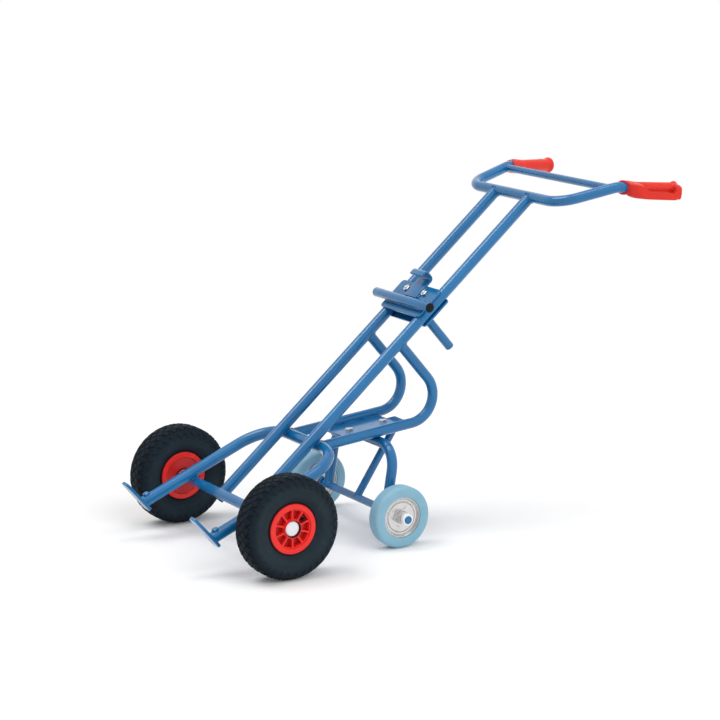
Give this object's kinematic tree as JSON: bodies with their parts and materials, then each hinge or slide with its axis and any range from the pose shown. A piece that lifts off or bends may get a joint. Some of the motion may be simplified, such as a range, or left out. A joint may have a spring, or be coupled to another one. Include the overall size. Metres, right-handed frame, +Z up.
{
  "type": "drum trolley",
  "caption": "Blue tubular drum trolley leaning on a bolted rear support: air-tyred main wheels, small support wheels, sliding rim clamp and bow handle with guarded red grips.",
  "frame": {"origin": "on the floor, under the middle of the whole trolley's box as it stands on its four wheels", "axes": "+X backwards towards the handle and the person who pushes, +Y across to that person's right, +Z up"},
  "size_m": [1.3846, 0.669, 0.8982],
  "materials": {
    "frame_blue": "smooth blue powder coat, half gloss",
    "zinc_steel": "bright zinc plating",
    "disc_zinc": "zinc-plated pressed sheet",
    "tyre_black": "black rubber with a block tread",
    "rim_red": "moulded red plastic, half gloss",
    "cap_white": "white plastic, half matt",
    "grip_red": "moulded red plastic, half gloss",
    "support_tyre_grey": "pale blue-grey non-marking rubber",
    "plug_black": "black plastic, matt",
    "bearing_white": "plain bearing plastic"
  },
  "bodies": {
    "trolley_frame": {"left_rail": "frame_blue", "right_rail": "frame_blue", "base_hoop": "frame_blue", "left_toe_plate": "frame_blue", "right_toe_plate": "frame_blue", "left_chime_stop": "frame_blue", "right_chime_stop": "frame_blue", "main_axle_tube": "frame_blue", "main_axle": "zinc_steel", "main_axle_washers": "zinc_steel", "main_axle_rings": "zinc_steel", "left_rear_leg": "frame_blue", "right_rear_leg": "frame_blue", "mounting_plate": "frame_blue", "support_top_plate": "frame_blue", "plate_bolts": "zinc_steel", "plate_nuts": "zinc_steel", "support_hoop": "frame_blue", "support_brace": "frame_blue", "support_axle": "frame_blue", "support_axle_rings": "bearing_white", "support_axle_washers": "zinc_steel", "handle_bow": "frame_blue", "handle_cross_bar": "frame_blue", "left_grip": "grip_red", "right_grip": "grip_red"},
    "drum_clamp": {"clamp_front_plate": "frame_blue", "clamp_rear_plate": "frame_blue", "clamp_bolts": "zinc_steel", "clamp_nuts": "zinc_steel", "clamp_spacers": "zinc_steel", "clamp_rest_tube": "frame_blue", "clamp_rest_plugs": "plug_black", "clamp_lever": "frame_blue", "rim_hook": "frame_blue"},
    "left_main_wheel": {"left_main_tyre": "tyre_black", "left_inner_tube": "tyre_black", "left_main_rim": "rim_red", "left_main_bearings": "zinc_steel", "left_hub_cap": "cap_white", "left_valve": "plug_black"},
    "left_support_wheel": {"left_support_tyre": "support_tyre_grey", "left_outer_disc": "disc_zinc", "left_inner_disc": "disc_zinc", "left_support_hub": "disc_zinc", "left_support_bearing": "bearing_white"},
    "right_main_wheel": {"right_main_tyre": "tyre_black", "right_inner_tube": "tyre_black", "right_main_rim": "rim_red", "right_main_bearings": "zinc_steel", "right_hub_cap": "cap_white", "right_valve": "plug_black"},
    "right_support_wheel": {"right_support_tyre": "support_tyre_grey", "right_outer_disc": "disc_zinc", "right_inner_disc": "disc_zinc", "right_support_hub": "disc_zinc", "right_support_bearing": "bearing_white"}
  },
  "joints": [
    {"name": "clamp_slide", "type": "slide", "parent": "trolley_frame", "child": "drum_clamp", "axis": [0.757, 0, 0.6534], "range_m": [-0.06, 0.32]},
    {"name": "left_main_wheel_spin", "type": "hinge", "parent": "trolley_frame", "child": "left_main_wheel", "pos_m": [-0.48474, -0.292, 0.13], "axis": [0, 1, 0], "continuous": true},
    {"name": "left_support_wheel_spin", "type": "hinge", "parent": "trolley_frame", "child": "left_support_wheel", "pos_m": [-0.11194, -0.2076, 0.08], "axis": [0, 1, 0], "continuous": true},
    {"name": "right_main_wheel_spin", "type": "hinge", "parent": "trolley_frame", "child": "right_main_wheel", "pos_m": [-0.48474, 0.292, 0.13], "axis": [0, 1, 0], "continuous": true},
    {"name": "right_support_wheel_spin", "type": "hinge", "parent": "trolley_frame", "child": "right_support_wheel", "pos_m": [-0.11194, 0.2076, 0.08], "axis": [0, 1, 0], "continuous": true}
  ]
}
